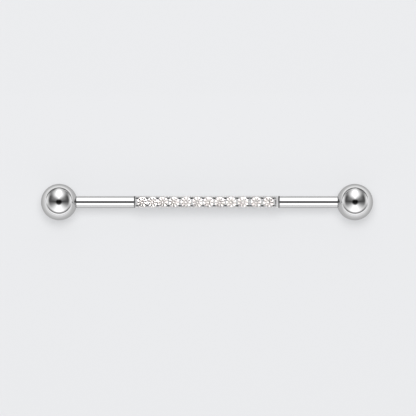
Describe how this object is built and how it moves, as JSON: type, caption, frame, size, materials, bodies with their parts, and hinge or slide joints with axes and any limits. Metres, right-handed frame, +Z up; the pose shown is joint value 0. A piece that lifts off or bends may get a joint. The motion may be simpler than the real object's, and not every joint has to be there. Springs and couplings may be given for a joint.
{
  "type": "industrial barbell",
  "caption": "Long straight ear barbell with a screwed ball at each end and a raised rail of round clear stones along its middle.",
  "frame": {"origin": "on the surface that the two balls stand on, straight below the middle of the bar", "axes": "+X along the bar, +Y across it, +Z up, the way the stones face"},
  "size_m": [0.0458, 0.005, 0.005],
  "materials": {
    "polished_steel": "polished",
    "clear_stone": "gloss"
  },
  "bodies": {
    "bar": {"bar": "polished_steel", "stone_01": "clear_stone", "stone_02": "clear_stone", "stone_03": "clear_stone", "stone_04": "clear_stone", "stone_05": "clear_stone", "stone_06": "clear_stone", "stone_07": "clear_stone", "stone_08": "clear_stone", "stone_09": "clear_stone", "stone_10": "clear_stone", "stone_11": "clear_stone", "stone_12": "clear_stone"},
    "ball_left": {"ball_left": "polished_steel"},
    "ball_right": {"ball_right": "polished_steel"}
  },
  "joints": [
    {"name": "ball_left_unscrew", "type": "slide", "parent": "bar", "child": "ball_left", "axis": [-1, 0, 0], "range_m": [0, 0.008]},
    {"name": "ball_right_unscrew", "type": "slide", "parent": "bar", "child": "ball_right", "axis": [1, 0, 0], "range_m": [0, 0.008]}
  ]
}
